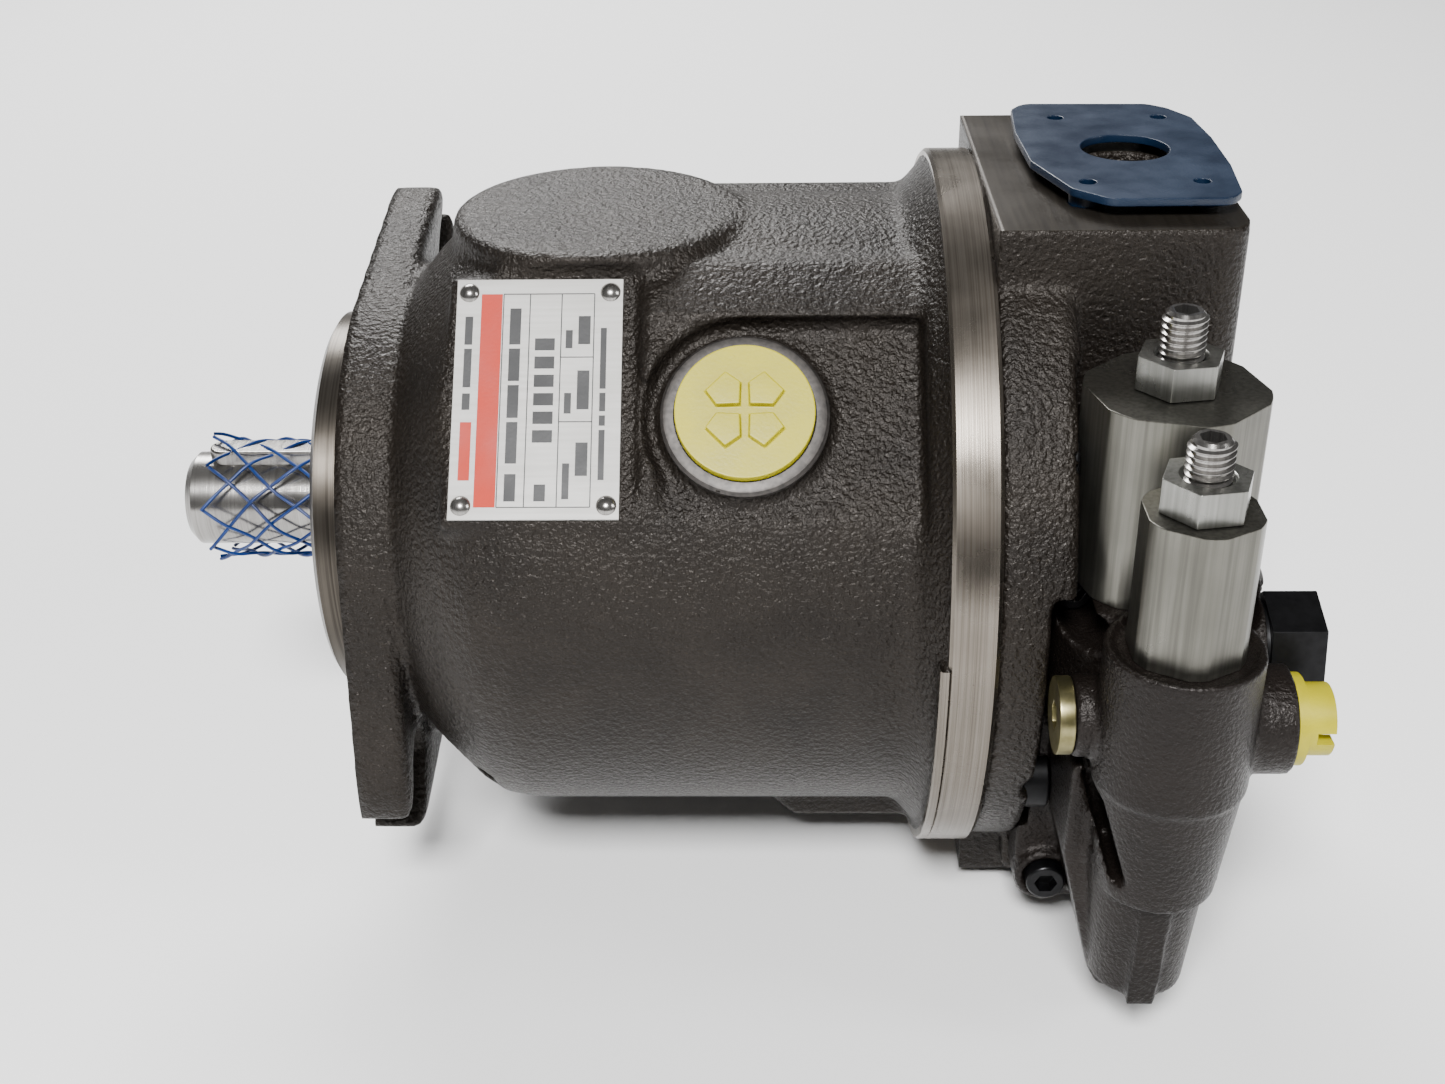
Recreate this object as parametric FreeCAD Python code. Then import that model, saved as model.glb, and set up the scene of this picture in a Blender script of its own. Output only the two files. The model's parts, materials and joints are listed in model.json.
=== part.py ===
import FreeCAD
import Part
import math
import os

os.makedirs("parts", exist_ok=True)
V = FreeCAD.Vector

# Driving dimensions in mm. The origin is the centre of the mounting face on the shaft axis.
# X runs along the shaft from the mounting face to the port plate, Z is up.
pilot_r = 50.0
pilot_len = 9.0
flange_thick = 13.0
flange_disc_r = 61.0
ear_r = 20.0
ear_reach = 70.0
slot_w = 14.0
shaft_r = 12.5
shaft_end = -52.0
key_w = 8.0
key_top = 15.5
barrel_r = 80.5
ring_r = 91.4
ring_x = 144.0
joint_x = 154.8
plate_x = 211.7
plate_y = 46.0
plate_z = 90.3
cavity_r = 66.5
port_x = 190.0
pressure_bore_r = 12.5
suction_bore_r = 19.0
pivot_x = 61.5
sole_x = 53.5
cradle_r = 36.0
shell_r = 38.5
piston_count = 9
piston_r = 8.5
piston_circle = 30.5
block_r = 43.5
control_y = 55.5
valve_x = 192.0
pressure_y = -70.0
flow_y = -103.3
drain_x = 97.8
drain_s = -5.4
pocket_r = 23.7


def rod(r, start, end):
    a = V(*start)
    d = V(*end).sub(a)
    return Part.makeCylinder(r, d.Length, a, d)


def tube(outer, inner, start, end):
    return rod(outer, start, end).cut(rod(inner, start, end))


def taper(r1, r2, start, end):
    a = V(*start)
    d = V(*end).sub(a)
    return Part.makeCone(r1, r2, d.Length, a, d)


def block(x0, x1, y0, y1, z0, z1):
    return Part.makeBox(x1 - x0, y1 - y0, z1 - z0, V(x0, y0, z0))


def ball(r, x, y, z):
    return Part.makeSphere(r, V(x, y, z))


def prism(points, along):
    # The outline is wound so that the solid is not inside out.
    corners = [V(*p) for p in points]
    shape = Part.Face(Part.makePolygon(corners + corners[:1])).extrude(V(*along))
    if shape.Volume < 0:
        corners.reverse()
        shape = Part.Face(Part.makePolygon(corners + corners[:1])).extrude(V(*along))
    return Part.makeSolid(shape.Shells[0])


def turned(points):
    corners = [V(x, r, 0) for x, r in points]
    shape = Part.Face(Part.makePolygon(corners + corners[:1])).revolve(V(0, 0, 0), V(1, 0, 0), 360)
    if shape.Volume < 0:
        corners.reverse()
        shape = Part.Face(Part.makePolygon(corners + corners[:1])).revolve(V(0, 0, 0), V(1, 0, 0), 360)
    return shape


def hexagon(across_flats, start, end, first=0.0):
    a = V(*start)
    d = V(*end).sub(a)
    u = V(0, 1, 0) if abs(d.y) < 0.5 * d.Length else V(1, 0, 0)
    if abs(d.z) > 0.9 * d.Length:
        u = V(1, 0, 0)
    w = V(d).normalize().cross(u)
    r = across_flats / math.sqrt(3)
    corners = []
    for i in range(6):
        t = math.radians(first + 60 * i)
        p = a.add(V(u).multiply(r * math.cos(t))).add(V(w).multiply(r * math.sin(t)))
        corners.append((p.x, p.y, p.z))
    return prism(corners, (d.x, d.y, d.z))


def chamfered_hex(across_flats, start, end, first=0.0, both=True):
    a = V(*start)
    d = V(*end).sub(a)
    n = V(d).normalize()
    r = across_flats / math.sqrt(3)
    body = hexagon(across_flats, start, end, first)
    high = 3.0 * (r - across_flats / 2)
    top = V(*end).add(V(n).multiply(0.58 * (r - across_flats / 2) - high))
    cap = Part.makeCone(r + (high * 1.732 - r + across_flats / 2), across_flats / 2 - 0.3, high, top, n)
    shaft = rod(r + 1, start, (top.x, top.y, top.z))
    body = body.common(shaft.fuse(cap))
    if both:
        foot = a.add(V(n).multiply(high - 0.58 * (r - across_flats / 2)))
        m = V(n).multiply(-1)
        wide = r + (high * 1.732 - r + across_flats / 2)
        low = Part.makeCone(wide, across_flats / 2 - 0.3, high, foot, m)
        rest = rod(r + 1, (foot.x, foot.y, foot.z), end)
        body = body.common(low.fuse(rest))
    return body


def fused(shapes):
    out = shapes[0]
    if len(shapes) > 1:
        out = out.multiFuse(shapes[1:])
    return out.removeSplitter()


def helix_spring(coil_r, wire_r, start_x, end_x, turns, y, z, square=False):
    # An open coil: wire swept along a helix whose axis is parallel to X.
    length = end_x - start_x - 2 * wire_r
    path = Part.makeHelix(length / turns, length, coil_r)
    ring = Part.Wire([Part.makeCircle(wire_r, V(coil_r, 0, 0), V(0, 1, 0))])
    if square:
        a, b = coil_r - wire_r * 0.9, coil_r + wire_r * 0.9
        h = wire_r * 0.9
        ring = Part.makePolygon([V(a, 0, -h), V(b, 0, -h), V(b, 0, h), V(a, 0, h), V(a, 0, -h)])
    coil = Part.Wire(path).makePipeShell([ring], True, True)
    coil.rotate(V(0, 0, 0), V(0, 1, 0), 90)
    coil.translate(V(start_x + wire_r, y, z))
    return coil


def socket_screw(head_r, head_len, shank_r, seat, direction, shank_len, across_flats):
    # seat is the point under the head; direction points from the head along the shank.
    s = V(*seat)
    n = V(*direction).normalize()
    head = Part.makeCylinder(head_r, head_len, s.sub(V(n).multiply(head_len)), n)
    rim = [e for e in head.Edges if e.Closed and e.CenterOfMass.sub(s).Length > head_len * 0.9]
    head = head.makeChamfer(0.5, rim)
    shank = Part.makeCylinder(shank_r, shank_len, s, n)
    top = s.sub(V(n).multiply(head_len))
    deep = top.add(V(n).multiply(head_len * 0.55))
    out = top.sub(V(n).multiply(1.0))
    drive = hexagon(across_flats, (out.x, out.y, out.z), (deep.x, deep.y, deep.z))
    return fused([head, shank]).cut(drive)


def save(name, shape):
    shape.exportStep("parts/" + name + ".step")
    print(name, len(shape.Solids), round(shape.Volume, 1), shape.isValid())


c45 = math.cos(math.radians(45))


def drain_point(n, s=0.0, x=drain_x, side=1):
    # A point n mm from the shaft axis on the 45 degree line towards -Y and +Z (side 1) or the opposite one.
    return (x, side * (-n * c45 + s * c45), side * (n * c45 + s * c45))


# ---------------------------------------------------------------- housing
sin_a = (flange_disc_r - ear_r) / ear_reach
cos_a = math.sqrt(1 - sin_a * sin_a)


def ear_point(s, t, x=0.0):
    return (x, s * c45 - t * c45, s * c45 + t * c45)


outline = []
for sign in (1, -1):
    outline.append(ear_point(sign * flange_disc_r * sin_a, -sign * flange_disc_r * cos_a))
    outline.append(ear_point(sign * (ear_reach + ear_r * sin_a), -sign * ear_r * cos_a))
    outline.append(ear_point(sign * (ear_reach + ear_r * sin_a), sign * ear_r * cos_a))
    outline.append(ear_point(sign * flange_disc_r * sin_a, sign * flange_disc_r * cos_a))
flange = [prism(outline, (flange_thick, 0, 0)), rod(flange_disc_r, (0, 0, 0), (flange_thick, 0, 0))]
for sign in (1, -1):
    flange.append(rod(ear_r, ear_point(sign * ear_reach, 0), ear_point(sign * ear_reach, 0, flange_thick)))
flange = fused(flange)
flange = flange.makeFillet(2.5, [e for e in flange.Edges if abs(e.CenterOfMass.x - flange_thick) < 0.01])
for sign in (1, -1):
    reach = sign * ear_reach
    round_end = rod(slot_w / 2, ear_point(reach, 0, -1), ear_point(reach, 0, flange_thick + 1))
    mouth = []
    for t in (-slot_w / 2, slot_w / 2):
        near, far = ear_reach, ear_reach + 30
        if t > 0:
            near, far = far, near
        mouth.append(ear_point(sign * near, t, -1))
        mouth.append(ear_point(sign * far, t, -1))
    flange = flange.cut(round_end.fuse(prism(mouth, (flange_thick + 2, 0, 0))))

body = [flange]
pilot = [(-pilot_len, 0), (-pilot_len, pilot_r - 2), (-pilot_len + 1.2, pilot_r), (1, pilot_r), (1, 0)]
body.append(turned(pilot))
cone = [(6, 0), (6, 56), (13, 60), (20, 68.5), (27, 75), (34, 79), (42, barrel_r)]
cone += [(136, barrel_r), (ring_x, 89.6), (ring_x + 1, 0)]
body.append(turned(cone))
rim = [(ring_x - 0.5, 0), (ring_x - 0.5, ring_r - 1.4), (ring_x, ring_r)]
rim += [(joint_x - 0.8, ring_r), (joint_x, ring_r - 0.8), (joint_x, 0)]
body.append(turned(rim))
step = rod(ring_r, (141.6, 0, 0), (145, 0, 0)).common(block(141, 146, -100, 0, -100, 3))
body.append(step)
pad = []
pad_half = [(-44.5, 50), (-44.5, 69.4), (-38, 73.4), (-30, 77.5)]
for y, z in pad_half + [(-y, z) for y, z in reversed(pad_half)]:
    pad.append((40, y, z))
body.append(prism(pad, (ring_x - 40 + 0.5, 0, 0)))
body.append(taper(38.5, 36.0, (61.3, 0, 58), (61.3, 0, 79.4)))
body.append(taper(36.0, 35.0, (61.3, 0, 79.4), (61.3, 0, 81)))
foot = [(104, -38, -60), (104, -38, -73), (110, -38, -78.5), (144.5, -38, -78.5), (144.5, -38, -60)]
body.append(prism(foot, (0, 76, 0)))
name_pad = []
for s, n in ((-31, 58), (-31, 74.6), (-29.5, 75.8), (29.5, 75.8), (31, 74.6), (31, 58)):
    name_pad.append(drain_point(n, s, 28.5))
body.append(prism(name_pad, (45.5, 0, 0)))
housing = fused(body)
facet = []
for s, x in ((-40, 26.0), (31.5, 26.0), (31.5, 74.0), (-40, 74.0)):
    facet.append(drain_point(75.8, s, x))
pocket = []
edge_s = drain_s + pocket_r
start_x = drain_x - 20
for s, x in ((-40, start_x), (drain_s, start_x), (edge_s, drain_x), (edge_s, 139.0), (-40, 139.0)):
    pocket.append(drain_point(74.8, s, x))
out = drain_point(20, 0, 0)
housing = housing.cut(prism(facet, out))
pocket_end = rod(pocket_r, drain_point(74.8, drain_s), drain_point(95, drain_s))
housing = housing.cut(prism(pocket, out).fuse(pocket_end))
bosses = []
for side, face in ((1, 79.6), (-1, 82.0)):
    bosses.append(rod(19.3, drain_point(60, drain_s, side=side), drain_point(face, drain_s, side=side)))
housing = fused([housing] + bosses)

cut = []
bore = [(-pilot_len - 1, 0), (-pilot_len - 1, 21), (6, 21), (6, 18), (15, 18), (15, 31), (32, 31), (32, 48)]
bore += [(45, cavity_r), (joint_x + 1, cavity_r), (joint_x + 1, 0)]
cut.append(turned(bore))
for sign in (1, -1):
    reach = sign * ear_reach
    cut.append(rod(12.0, ear_point(reach, 0, flange_thick - 0.5), ear_point(reach, 0, 33)))
cut.append(tube(22.4, 20, (-6.2, 0, 0), (-4.5, 0, 0)))
cut.append(tube(73.0, 69.0, (joint_x - 2.2, 0, 0), (joint_x + 1, 0, 0)))
for z0, z1 in ((33, 50), (-50, -33)):
    cut.append(rod(shell_r, (pivot_x, 0, z0), (pivot_x, 0, z1)))
cut.append(block(26, 50, 38, 63, -11, 11))
for side, face in ((1, 79.6), (-1, 82.0)):
    above = drain_point(face + 2, drain_s, side=side)
    cut.append(rod(10.25, drain_point(60, drain_s, side=side), above))
    cut.append(rod(16.2, drain_point(face - 1, drain_s, side=side), above))
for y in (-66, 66):
    for z in (-44, 44):
        cut.append(rod(5.0, (142.5, y, z), (joint_x + 1, y, z)))
for s, e in ((-26, -16.5), (26, -16.5), (-26, 16.5), (26, 16.5)):
    cut.append(rod(1.2, drain_point(70, s, 50 + e), drain_point(77, s, 50 + e)))
cut.append(ball(1.0, 38.5, -12.5, 81.3))
for tool in cut:
    housing = housing.cut(tool)
save("housing", housing)

# ---------------------------------------------------------------- port plate
core = block(joint_x, plate_x, -plate_y, plate_y, -plate_z, plate_z)
corner = [e for e in core.Edges if abs(e.CenterOfMass.x - plate_x) < 0.01 and abs(e.CenterOfMass.z) < 1]
core = core.makeFillet(7.0, corner)
disc = turned([(joint_x, 0), (joint_x, 88.6), (joint_x + 1, 89.6), (170.5, 89.6), (173, 87), (173, 0)])
valve_pad = block(165, 218, -52, -30, -86, 16.6)
valve_pad = valve_pad.makeFillet(3.0, [e for e in valve_pad.Edges if abs(e.CenterOfMass.y + 41) < 0.1])
plate = fused([core, disc, valve_pad])
cut = []
cut.append(rod(pressure_bore_r, (port_x, 0, 32), (port_x, 0, plate_z + 1)))
cut.append(rod(suction_bore_r, (port_x, 0, -plate_z - 1), (port_x, 0, -30)))
cut.append(rod(23.5, (joint_x - 1, 0, 0), (171, 0, 0)))
cut.append(rod(13, (joint_x - 1, 0, 0), (175, 0, 0)))
ring = tube(36, 25, (joint_x - 1, 0, 0), (184, 0, 0))
cut.append(ring.common(block(150, 190, -20, 20, 15, 40)))
cut.append(ring.common(block(150, 190, -26, 26, -40, -12)))
cut.append(rod(1.5, (joint_x - 1, -40.5, 0), (158, -40.5, 0)))
for dx in (-13.1, 13.1):
    for dy in (-26.2, 26.2):
        cut.append(rod(4.25, (port_x + dx, dy, plate_z - 18), (port_x + dx, dy, plate_z + 1)))
for dx in (-17.85, 17.85):
    for dy in (-34.95, 34.95):
        cut.append(rod(5.1, (port_x + dx, dy, -plate_z - 1), (port_x + dx, dy, -plate_z + 20)))
for y in (-66, 66):
    for z in (-44, 44):
        cut.append(rod(5.4, (joint_x - 1, y, z), (175, y, z)))
        cut.append(rod(9.0, (162, y, z), (175, y, z)))
for x in (174.0, 211.0):
    for z in (-76.0, 11.0):
        cut.append(rod(3.0, (x, -53, z), (x, -38, z)))
# Room for the control valve and its big cap on the round rear flange.
cut.append(block(166.1, 180, -100, -52, -87, 18.9))
cut.append(block(171.5, 180, -100, -52, 18.8, 64))
cut.append(rod(6.3, (170.5, -100, -37), (170.5, -52, -37)))
for tool in cut:
    plate = plate.cut(tool)
save("port_plate", plate)

save("plate_seal", tube(72.8, 69.2, (joint_x - 2.2, 0, 0), (joint_x, 0, 0)))
screws = []
for y in (-66, 66):
    for z in (-44, 44):
        screws.append(socket_screw(8.0, 10.0, 4.9, (162, y, z), (-1, 0, 0), 18.5, 8.0))
save("plate_screws", Part.makeCompound(screws))
disc = tube(43.0, 24.5, (150.3, 0, 0), (joint_x, 0, 0))
ring = tube(36, 25, (145, 0, 0), (160, 0, 0))
disc = disc.cut(ring.common(block(145, 160, -20, 20, 15, 40)))
disc = disc.cut(ring.common(block(145, 160, -26, 26, -40, -12)))
save("valve_disc", disc.cut(rod(1.5, (150, -40.5, 0), (156, -40.5, 0))))
save("disc_pin", rod(1.5, (151.3, -40.5, 0), (158, -40.5, 0)))

# ---------------------------------------------------------------- shaft group
steps = [(shaft_end, 0), (shaft_end, shaft_r - 2), (shaft_end + 2, shaft_r)]
steps += [(-10.5, shaft_r), (-10, 15), (32, 15)]
steps += [(32, 18), (40, 18), (40, 14), (88, 14), (88, 15), (149, 15), (149, 12), (157, 12)]
steps += [(157, 10), (171, 10), (172, 9), (172, 0)]
shaft = turned(steps)


def feather(top):
    # A round-ended parallel key shape, used for the key and for its keyway.
    bar = block(-42, -16, -key_w / 2, key_w / 2, 8.5, top)
    ends = [rod(key_w / 2, (x, 0, 8.5), (x, 0, top)) for x in (-42, -16)]
    return fused([bar] + ends)


shaft = shaft.cut(feather(20))
centre = taper(3.6, 0.6, (shaft_end, 0, 0), (shaft_end + 4.5, 0, 0))
shaft = shaft.cut(fused([centre, rod(3.4, (shaft_end - 1, 0, 0), (shaft_end + 16, 0, 0))]))
save("drive_shaft", shaft)
key = feather(key_top)
key = key.makeChamfer(0.4, [e for e in key.Edges if abs(e.CenterOfMass.z - key_top) < 0.01])
save("shaft_key", key)
seal = turned([(-2.5, 21), (-2.5, 16.2), (-1.3, 15.05), (0.2, 16.2), (0.2, 19.2), (4.5, 19.2), (4.5, 21)])
save("shaft_seal", seal)
clip = tube(22.3, 19.2, (-6.2, 0, 0), (-4.5, 0, 0)).cut(block(-7, -4, -3, 3, -25, -15))
save("seal_circlip", clip)


def bearing(tag, bore_r, outer_r, x0, x1, roller_r, count):
    # Taper roller bearing: a cup in the casing, and a cone with rollers on the shaft.
    mid = (x0 + x1) / 2
    tilt = math.radians(12) if x0 < 100 else math.radians(-12)
    pitch = (bore_r + outer_r) / 2
    half = (x1 - x0) / 2 - 2.5
    slope = math.tan(tilt)
    inner = pitch - roller_r / math.cos(tilt) + 0.2
    low, high = slope * (mid - x0), slope * (x1 - mid)
    cone_part = turned([(x0, bore_r), (x0, inner - low), (x1, inner + high), (x1, bore_r)])
    rollers = []
    for i in range(count):
        t = 360.0 * i / count
        a = V(mid - half * math.cos(tilt), pitch - half * math.sin(tilt), 0)
        one = Part.makeCylinder(roller_r, 2 * half, a, V(math.cos(tilt), math.sin(tilt), 0))
        one.rotate(V(0, 0, 0), V(1, 0, 0), t)
        rollers.append(one)
    outer = pitch + roller_r / math.cos(tilt) + 0.06
    cup = turned([(x0, outer_r), (x0, outer - low), (x1, outer + high), (x1, outer_r)])
    save(tag + "_bearing_cup", cup)
    save(tag + "_bearing_cone", fused([cone_part] + rollers))


bearing("front", 15.0, 31.0, 15.0, 32.0, 3.6, 16)
bearing("rear", 10.0, 23.5, 157.0, 171.0, 3.0, 14)

barrel = tube(block_r, 15.0, (73.5, 0, 0), (150.0, 0, 0))
barrel = barrel.cut(rod(21, (72, 0, 0), (88, 0, 0))).cut(rod(17.5, (122, 0, 0), (148.5, 0, 0)))
pistons = []
for i in range(piston_count):
    t = 2 * math.pi * i / piston_count
    y, z = piston_circle * math.sin(t), piston_circle * math.cos(t)
    barrel = barrel.cut(rod(piston_r + 0.04, (72, y, z), (138, y, z)))
    barrel = barrel.cut(rod(5.0, (136, y, z), (151, y, z)))
    pistons.append((y, z))
save("cylinder_block", barrel)
save("block_spring", helix_spring(16.2, 1.0, 123.3, 147.1, 5, 0, 0, square=True))
pins = [tube(17.4, 15.1, (122.0, 0, 0), (123.2, 0, 0)), tube(17.4, 15.1, (147.2, 0, 0), (148.4, 0, 0))]
for i in range(3):
    t = math.radians(20 + 120 * i)
    y, z = 18.0 * math.sin(t), 18.0 * math.cos(t)
    pins.append(rod(1.4, (81.4, y, z), (88.0, y, z)))
save("block_spring_pins", Part.makeCompound(pins))
guide = ball(21.0, pivot_x - 4, 0, 0).common(rod(30, (pivot_x - 5, 0, 0), (pivot_x + 7, 0, 0)))
guide = guide.cut(rod(15.4, (40, 0, 0), (90, 0, 0)))
save("retainer_ball", guide)
keep = rod(41.0, (56.8, 0, 0), (59.3, 0, 0)).cut(ball(21.0, pivot_x - 4, 0, 0))
keep = keep.cut(rod(18, (50, 0, 0), (70, 0, 0)))
for y, z in pistons:
    keep = keep.cut(rod(7.6, (50, y, z), (65, y, z)))
save("retaining_plate", keep)
slippers = []
for i, (y, z) in enumerate(pistons):
    slip = fused([rod(9.4, (sole_x + 0.3, y, z), (56.3, y, z)), rod(7.0, (56.0, y, z), (64.4, y, z))])
    slip = slip.cut(ball(5.04, pivot_x, y, z)).cut(rod(1.0, (50, y, z), (60, y, z)))
    slippers.append(slip.cut(tube(7.6, 5.4, (53.0, y, z), (54.4, y, z))))
    head = [ball(5.0, pivot_x, y, z), rod(3.4, (pivot_x, y, z), (69, y, z))]
    head += [taper(4.0, piston_r, (67, y, z), (71, y, z)), rod(piston_r, (71, y, z), (120, y, z))]
    head = fused(head).cut(rod(5.6, (84, y, z), (121, y, z))).cut(rod(0.8, (50, y, z), (90, y, z)))
    save("piston_%d" % (i + 1), head)
save("slippers", Part.makeCompound(slippers))

# ---------------------------------------------------------------- swash plate and its pistons
swash = [rod(46.0, (46.5, 0, 0), (sole_x, 0, 0))]
for z0, z1 in ((33.3, 49.7), (-49.7, -33.3)):
    runner = rod(cradle_r, (pivot_x, 0, z0), (pivot_x, 0, z1))
    swash.append(runner.common(block(0, sole_x, -60, 60, -60, 60)))
swash.append(block(47.0, sole_x, -61.5, 61.5, -9, 9))
swash = fused(swash).cut(rod(24.0, (0, 0, 0), (70, 0, 0)))
save("swash_plate", swash)
shells = []
for z0, z1 in ((33.3, 49.7), (-49.7, -33.3)):
    shell = tube(shell_r, cradle_r + 0.05, (pivot_x, 0, z0), (pivot_x, 0, z1))
    shells.append(shell.common(block(10, 32, -60, 60, -60, 60)))
save("cradle_shells", Part.makeCompound(shells))
stroke = [ball(7.0, 60.8, -control_y, 0), rod(7.0, (60.8, -control_y, 0), (64, -control_y, 0))]
stroke.append(rod(8.0, (63.5, -control_y, 0), (126, -control_y, 0)))
save("control_piston", fused(stroke).cut(rod(4.5, (80, -control_y, 0), (127, -control_y, 0))))
sleeve = tube(10.6, 8.04, (98.0, -control_y, 0), (joint_x, -control_y, 0))
save("control_sleeve", sleeve)
push = [ball(7.0, 60.8, control_y, 0), rod(7.0, (60.8, control_y, 0), (63.5, control_y, 0))]
push.append(rod(9.6, (62.5, control_y, 0), (68.6, control_y, 0)))
push.append(rod(4.8, (67.0, control_y, 0), (136, control_y, 0)))
save("return_piston", fused(push))
seat = rod(6.8, (104.0, control_y, 0), (joint_x, control_y, 0))
seat = fused([seat, rod(10.0, (144.0, control_y, 0), (joint_x, control_y, 0))])
save("return_seat", seat.cut(rod(4.84, (103, control_y, 0), (joint_x + 1, control_y, 0))))
save("return_spring", helix_spring(8.4, 0.9, 68.7, 143.9, 13, control_y, 0))

# ---------------------------------------------------------------- control valve
vx = valve_x
valve = []
base = block(166.5, 218.5, -64.0, -52.0, -84.5, 16.9)
base = base.makeFillet(6.0, [e for e in base.Edges if abs(e.CenterOfMass.y + 58) < 0.1])
valve.append(base.cut(block(160, 169.0, -66, -50, -62, -2)).cut(block(216.0, 220, -66, -50, -62, -8)))
valve.append(rod(24.0, (vx, pressure_y, -16), (vx, pressure_y, 16.7)))
valve.append(block(vx - 23, vx + 24.5, pressure_y, -56, -50, 16))
valve.append(taper(13.0, 23.5, (vx, pressure_y, -52), (vx, pressure_y, -15.5)))
valve.append(rod(17.2, (vx, flow_y, -16), (vx, flow_y, 18.1)))
valve.append(taper(13.6, 17.0, (vx, flow_y + 1.0, -46), (vx, flow_y + 1.0, -15.5)))
tail = []
for x, z in ((172.0, -18), (171.8, -44), (175.4, -58.5), (180.0, -78), (182.6, -83), (189.0, -86.5)):
    tail.append((x, -98, z))
for x, z in ((198.0, -85.8), (202.7, -79.5), (204.4, -54.0), (205.2, -18)):
    tail.append((x, -98, z))
valve.append(prism(tail, (0, 40, 0)))
valve.append(taper(11.0, 14.2, (191.2, -98.5, -77), (191.2, -98.5, -40)))
rib = [(186.8, -112.3, -76.5), (193.6, -112.3, -76.5), (195.4, -112.3, -20), (188.6, -112.3, -20)]
valve.append(prism(rib, (0, 16, 0)))
valve.append(rod(9.3, (170.2, -97, -4.5), (190, -97, -4.5)))
valve.append(rod(12.3, (192, -97, -5.5), (218.0, -97, -5.5)))
valve.append(rod(12.0, (200, -71, -2), (217.0, -71, -2)))
for x in (174.0, 211.0):
    for z in (-76.0, 11.0):
        valve.append(rod(7.6, (x, -52, z), (x, -67.0, z)))
valve.append(rod(6.0, (170.5, -52, -37), (170.5, -63.0, -37)))
valve = fused(valve)
cut = []
cut.append(rod(4.04, (vx, pressure_y, -48), (vx, pressure_y, 25)))
cut.append(rod(12.0, (vx, pressure_y, 10), (vx, pressure_y, 25)))
cut.append(rod(21.0, (vx, pressure_y, 16.7), (vx, pressure_y, 25)))
cut.append(rod(4.04, (vx, flow_y, -48), (vx, flow_y, 18)))
cut.append(rod(8.5, (vx, flow_y, 6), (vx, flow_y, 18)))
cut.append(rod(15.6, (vx, flow_y, 16.8), (vx, flow_y, 25)))
cut.append(rod(5.5, (169, -97, -4.5), (181, -97, -4.5)))
cut.append(rod(6.4, (206, -97, -5.5), (220, -97, -5.5)))
cut.append(rod(8.0, (206, -71, -2), (219, -71, -2)))
for x in (174.0, 211.0):
    for z in (-76.0, 11.0):
        cut.append(rod(3.3, (x, -51, z), (x, -68, z)))
        cut.append(rod(5.4, (x, -63.5, z), (x, -95, z)))
cut.append(rod(1.5, (175.6, -120, -20), (175.6, -92, -20)))
cut.append(rod(1.5, (181.6, -120, -40), (181.6, -92, -40)))
slot = [(174.1, -120, -20.4), (177.1, -120, -19.6), (183.1, -120, -39.6), (180.1, -120, -40.4)]
cut.append(prism(slot, (0, 28, 0)))
cut.append(block(150, 240, -52, -20, -100, 40))
cut.append(rod(9.0, (150, -66, -44), (172.6, -66, -44)))
cut.append(rod(13.2, (217.0, -71, -2), (235, -71, -2)))
for tool in cut:
    valve = valve.cut(tool)
valve = valve.copy().cut(rod(5.4, (211.0, -63.5, 11.0), (211.0, -95, 11.0)))
save("valve_body", valve)
screws = []
for x in (174.0, 211.0):
    for z in (-76.0, 11.0):
        screws.append(socket_screw(5.0, 6.0, 2.95, (x, -63.5, z), (0, 1, 0), 24.0, 5.0))
save("valve_screws", Part.makeCompound(screws))


def spool(y, low, high):
    body_ = rod(4.0, (vx, y, low), (vx, y, high))
    for z in (low + 10, low + 26, low + 40):
        body_ = body_.cut(tube(5.0, 2.6, (vx, y, z), (vx, y, z + 6)))
    return body_


def upright_spring(coil_r, wire_r, z0, z1, turns, y):
    coil = helix_spring(coil_r, wire_r, z0, z1, turns, 0, 0)
    coil.rotate(V(0, 0, 0), V(0, 1, 0), -90)
    coil.translate(V(vx, y, 0))
    return coil


save("pressure_spool", spool(pressure_y, -45, 14))
save("flow_spool", spool(flow_y, -45, 10))
seat_low = [rod(9.6, (vx, pressure_y, 14.0), (vx, pressure_y, 16.5))]
seat_low.append(rod(4.5, (vx, pressure_y, 16.5), (vx, pressure_y, 19.0)))
save("pressure_seat", fused(seat_low))
seat_low = [rod(6.0, (vx, flow_y, 10.0), (vx, flow_y, 12.0))]
seat_low.append(rod(2.6, (vx, flow_y, 12.0), (vx, flow_y, 14.0)))
save("flow_seat", fused(seat_low))
save("pressure_spring", upright_spring(7.2, 1.3, 16.55, 51.4, 7, pressure_y))
save("flow_spring", upright_spring(4.5, 0.8, 12.05, 32.9, 7, flow_y))


def spring_cap(across_flats, y, foot_z, top_z, spigot_r, spigot_z, hollow_r, roof, first):
    shell = chamfered_hex(across_flats, (vx, y, foot_z), (vx, y, top_z), first)
    shell = shell.common(rod(across_flats * 0.53, (vx, y, foot_z), (vx, y, top_z)))
    shell = fused([shell, rod(spigot_r, (vx, y, spigot_z), (vx, y, foot_z))])
    shell = shell.cut(rod(hollow_r, (vx, y, spigot_z - 1), (vx, y, top_z - roof)))
    return shell.cut(rod(5.04, (vx, y, spigot_z), (vx, y, top_z + 2)))


save("pressure_cap", spring_cap(38.2, pressure_y, 16.7, 63.2, 12.0, 12.0, 10.2, 9.0, 44.0))
save("flow_cap", spring_cap(24.0, flow_y, 16.8, 50.8, 8.5, 7.0, 6.4, 8.0, 30.0))


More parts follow.
